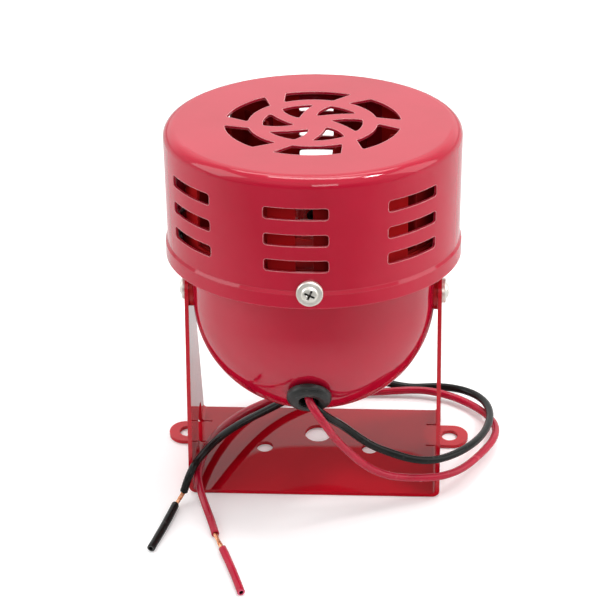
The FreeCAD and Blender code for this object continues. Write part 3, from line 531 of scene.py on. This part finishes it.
# ================================================================ leads, copper and sleeves
def lead_skin(path, seed):
    """Insulated lead: faintly uneven, with a ragged cut lip and a socket around the copper."""
    line = natural_spline(path, 420)
    phase = np.random.default_rng(seed).uniform(0, 6.28, 6)
    end = len(line) - 1

    def uneven(i):
        s = i / len(line) * 40
        swell = 0.012 * math.sin(s * 1.3 + phase[0]) + 0.010 * math.sin(s * 3.1 + phase[1])
        return lambda angle: (LEAD_R + swell
                              + 0.012 * math.sin(2 * angle + s * 0.35 + phase[2]) - 0.02)

    def ragged(radius, amount):
        return lambda angle: radius + amount * (0.07 * math.sin(3 * angle + phase[3])
                                                + 0.05 * math.sin(5 * angle + phase[4]))

    rings = [(0, 0.0, 0.9), (0, 0.12, 1.04)]
    rings += [(i, 0.0, uneven(i)) for i in range(2, end)]
    rings += [(end, 0.0, LEAD_R + 0.01), (end, 0.10, ragged(LEAD_R - 0.05, 0.3)),
              (end, 0.14, ragged(LEAD_R - 0.20, 0.3)), (end, 0.10, ragged(0.74, 0.2)),
              (end, -0.05, 0.68), (end, -0.9, 0.64)]
    return tube(line, rings, LEAD_SIDES)


def sleeve_skin(ends, seed, skew):
    """Loose sleeve, slightly bowed, with a skewed cut at the copper end and a bore at each end.

    Also returns the material slot of each face.
    """
    start, stop = np.array(ends)
    count = 60
    axis = stop - start
    bow = unit(np.array([-axis[1], axis[0], 0.0])) * 0.18
    s = np.linspace(0, 1, count)[:, None]
    line = start + axis * s + bow * np.sin(np.pi * s)
    phase = np.random.default_rng(seed).uniform(0, 6.28, 4)

    def ring(i, offset, radius, tip):
        def around(angle):
            return radius * (1 + 0.012 * math.sin(2 * angle + phase[0] + i * 0.05))

        def along(angle):
            return offset + tip * math.sin(angle + 0.9) * around(angle) / LEAD_R

        return i, along if tip else offset, around

    # index on the line, offset along it, radius, skew
    stations = [(0, 2.6, 0.46, 0), (0, 0.5, 0.60, skew), (0, 0.12, 0.66, skew),
                (0, 0.0, 0.84, skew), (0, 0.06, 1.0, skew), (0, 0.30, 1.07, skew)]
    stations += [(i, 0.0, 1.08 + 0.012 * math.sin(i * 0.31 + phase[2]), 0)
                 for i in range(5, count - 3)]
    end = count - 1
    stations += [(end, -0.22, 1.08, 0), (end, -0.04, 1.05, 0.05), (end, 0.0, 0.98, 0.05),
                 (end, 0.0, 0.60, 0.05), (end, -0.05, 0.53, 0), (end, -2.3, 0.48, 0)]
    # The bore slot wears the near-black painted shade of the hollow ends.
    skin, cut, bore = 0, 1, 2
    bands = [bore, bore, cut, cut] + [skin] * (len(stations) - 8) + [cut, bore, bore]
    kinds = np.repeat(bands, LEAD_SIDES).tolist() + [bore] * (2 * LEAD_SIDES)
    return tube(line, [ring(*station) for station in stations], LEAD_SIDES), kinds


def copper_skins(path, ends, seed, turns):
    """Twisted strands that start in the lead's socket, neck down and run into the sleeve."""
    line = natural_spline(path, 400)
    lead_dir = unit(line[-1] - line[-3])
    mouth = np.array(ends[0])
    sleeve_dir = unit(np.array(ends[1]) - mouth)
    start, stop = line[-1] - lead_dir * 0.75, mouth + sleeve_dir * 2.2
    reach = np.linalg.norm(stop - start)
    count = 64
    t = np.linspace(0, 1, count)[:, None]
    core = (start * (2 * t ** 3 - 3 * t ** 2 + 1)
            + lead_dir * reach * 1.1 * (t ** 3 - 2 * t ** 2 + t)
            + stop * (-2 * t ** 3 + 3 * t ** 2)
            + sleeve_dir * reach * 1.1 * (t ** 3 - t ** 2))
    core[:, 2] = np.maximum(core[:, 2], 0.62)   # keep the bundle above the ground
    _, normal, side = frames(core)
    random = np.random.default_rng(seed)
    skins = []
    for k in range(STRANDS):
        phase = 2 * np.pi * k / (STRANDS - 1) + random.uniform(-0.15, 0.15)
        points = []
        for i in range(count):
            u = i / (count - 1)
            spread = 0.52 - 0.13 * min(1.0, u / 0.45) + 0.07 * math.sin(u * 9 + seed)
            if u >= 0.8:
                spread *= 1 - 0.8 * (u - 0.8)
            loose = 1.0 + 0.16 * math.sin(u * 7 + phase * 2.0)
            radius = 0.0 if k == STRANDS - 1 else spread * loose
            angle = phase + turns * 2 * np.pi * u
            points.append(core[i] + (normal[i] * math.cos(angle)
                                     + side[i] * math.sin(angle)) * radius)
        points = np.array(points)
        points[:, 2] = np.maximum(points[:, 2], 0.16)
        rings = [(i, 0.0, STRAND_R * (0.6 if i in (0, count - 1) else 1)) for i in range(count)]
        skins.append(tube(points, rings, STRAND_SIDES))
    return skins


def even_rings(obj):
    """One blend weight for each ring of a lead, so that its section stays round in a bend."""
    layer = obj.data.attributes["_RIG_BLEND"].data
    weights = np.zeros(len(layer), np.float32)
    layer.foreach_get("value", weights)
    body = (len(weights) - 2) // LEAD_SIDES * LEAD_SIDES   # all but the two cap centres
    means = weights[:body].reshape(-1, LEAD_SIDES).mean(axis=1)
    weights[:body] = np.repeat(means, LEAD_SIDES)
    weights[-2], weights[-1] = weights[0], weights[body - 1]
    layer.foreach_set("value", weights)


for tone, path, ends, seed, turns, skew in LEADS:
    pvc = tone + "_pvc"
    wire = add_mesh(tone + "_lead_wire", [lead_skin(path, seed)], [pvc])
    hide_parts(tone + "_lead")
    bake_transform(wire, "head", "bracket", start=BLEND_START, end=BLEND_END)
    even_rings(wire)

    copper = add_mesh(tone + "_bare_copper", copper_skins(path, ends, seed, turns),
                      ["bare_copper"])
    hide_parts(tone + "_strands")
    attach(copper, "bracket")

    skin, kinds = sleeve_skin(ends, seed + 10, skew)
    # The third slot is the near-black painted shade of the bores.
    sleeve = add_mesh(tone + "_loose_sleeve", [skin], [pvc, pvc + "_cut", pvc + "_bore"], kinds)
    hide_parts(tone + "_slug")
    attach(sleeve, "bracket")


# ================================================================ floor
FLOOR_HALF = 3.0
FLOOR_Z = -0.0002
FLOOR_POINTS = 24     # along each side


def floor_material():
    """Near-white to the camera, grey in reflections, and darker there towards the front."""
    mat = Material("studio_floor")
    depth = mat.split(mat.geometry("Position"))["Y"]
    rays = mat.add("ShaderNodeLightPath").outputs
    glossy = rays["Is Glossy Ray"]
    dark = mat.mul(mat.remap(depth, over=(-0.06, -0.30)), glossy)
    cloud = mat.remap(mat.noise(scale=3.0, detail=2.0), over=(0.3, 0.7))
    colour = mat.mix(cloud, (0.90, 0.90, 0.90), (0.92, 0.92, 0.92))
    colour = mat.mix(glossy, colour, (0.58, 0.575, 0.575))
    mat.surface({
        "Base Color": mat.mix(dark, colour, (0.27, 0.26, 0.26)),
        "Emission Color": (1.0, 1.0, 1.0, 1.0),
        "Emission Strength": mat.mul(rays["Is Camera Ray"], 0.15),
        "Roughness": 0.9,
        "Specular IOR Level": 0.0,
    })
    return mat.data


def add_floor():
    count = FLOOR_POINTS
    steps = np.linspace(-FLOOR_HALF, FLOOR_HALF, count)
    verts = [(x, y, FLOOR_Z) for y in steps for x in steps]
    faces = [(j * count + i, j * count + i + 1, (j + 1) * count + i + 1, (j + 1) * count + i)
             for j in range(count - 1) for i in range(count - 1)]
    data = bpy.data.meshes.new("studio_floor")
    data.from_pydata(verts, [], faces)
    floor = bpy.data.objects.new("studio_floor", data)
    scene.collection.objects.link(floor)
    data.materials.append(floor_material())


add_floor()

# ================================================================ lights
# name, position, aim, width, height, power (W)
LIGHTS = [
    ("softbox_top", (0.04, 0.16, 1.10), (0, 0, 0.05), 0.72, 0.24, 4.3),
    ("strip_back", (0.0, 0.52, 0.95), (0, 0, 0.06), 0.90, 0.22, 2.5),
    ("softbox_left", (-1.05, -0.10, 0.62), (0, 0, 0.05), 0.70, 0.95, 4.2),
    ("softbox_right", (1.05, 0.10, 0.55), (0, 0, 0.05), 0.60, 0.95, 3.0),
    ("key_right", (0.52, -0.05, 0.95), (0, 0, 0.08), 0.16, 0.16, 2.6),
    ("fill_front", (0.25, -1.10, 0.75), (0, 0, 0.04), 0.40, 0.30, 1.8),
]
for name, position, aim, width, height, power in LIGHTS:
    data = bpy.data.lights.new(name, "AREA")
    data.shape = "RECTANGLE"
    data.size, data.size_y = width, height
    data.energy = power
    light = bpy.data.objects.new(name, data)
    scene.collection.objects.link(light)
    light.location = position
    light.rotation_mode = "QUATERNION"
    light.rotation_quaternion = (Vector(aim) - Vector(position)).to_track_quat("-Z", "Y")


# ================================================================ world
def build_world():
    """White to the camera; the light dims low at the front, reflections brighten at the back."""
    world = bpy.data.worlds.new("studio")
    scene.world = world
    world.use_nodes = True
    kit = Nodes(world.node_tree)
    output = kit.add("ShaderNodeOutputWorld")
    direction = kit.split(kit.add("ShaderNodeTexCoord").outputs["Generated"])
    toward_y, toward_z = direction["Y"], direction["Z"]

    low = kit.remap(toward_z, over=(0.62, 0.30))
    frontward = kit.remap(toward_y, over=(-0.35, -0.80))
    dimmed = kit.mul(kit.mul(low, frontward), 0.75)
    bright = kit.mul(kit.math("SUBTRACT", 1.0, dimmed), 0.86)

    backward = kit.remap(toward_y, over=(0.45, 0.85))
    sweep = kit.remap(toward_z, over=(0.76, 0.56))
    middle = kit.remap(toward_z, over=(0.40, 0.54), to=(0.0, 0.62))
    glow = kit.mul(kit.mul(backward, sweep), kit.math("ADD", middle, 0.70))
    reflected = kit.mul(bright, kit.math("ADD", 1.0, glow))

    rays = kit.add("ShaderNodeLightPath").outputs
    glossy = rays["Is Glossy Ray"]
    level = kit.math("ADD", kit.mul(glossy, reflected),
                     kit.mul(kit.math("SUBTRACT", 1.0, glossy), bright))
    lighting = kit.add("ShaderNodeBackground", {"Strength": level})
    backdrop = kit.add("ShaderNodeBackground", {"Color": (1, 1, 1, 1), "Strength": 1.0})
    mix = kit.add("ShaderNodeMixShader", {0: rays["Is Camera Ray"], 1: lighting.outputs[0],
                                          2: backdrop.outputs[0]})
    kit.feed(output, {0: mix.outputs[0]})


build_world()
scene.view_settings.view_transform = "Standard"
scene.view_settings.look = "None"
scene.view_settings.exposure = 0.0

# ================================================================ camera
AZIMUTH, ELEVATION, ROLL = 0.0630280, 0.6286143, -0.0224707   # radians; azimuth from -Y to +X
TARGET_MM = (-2.27, -7.5, 51.452)
DISTANCE_MM = 800.0
SENSOR_MM = 36.0
LENS_MM = 171.8205882


def add_camera():
    target = Vector(TARGET_MM) * MM
    back = Vector((math.sin(AZIMUTH) * math.cos(ELEVATION),
                   -math.cos(AZIMUTH) * math.cos(ELEVATION), math.sin(ELEVATION)))
    level_right = Vector((0, 0, 1)).cross(back).normalized()
    level_up = back.cross(level_right)
    right = level_right * math.cos(ROLL) + level_up * math.sin(ROLL)
    up = level_up * math.cos(ROLL) - level_right * math.sin(ROLL)
    data = bpy.data.cameras.new("camera")
    data.sensor_width = SENSOR_MM
    data.lens = LENS_MM
    data.clip_start, data.clip_end = 0.01, 20.0
    camera = bpy.data.objects.new("camera", data)
    scene.collection.objects.link(camera)
    rotation = Matrix((right, up, back)).transposed().to_4x4()
    camera.matrix_world = Matrix.Translation(target + back * DISTANCE_MM * MM) @ rotation
    scene.camera = camera


add_camera()

bpy.context.view_layer.update()
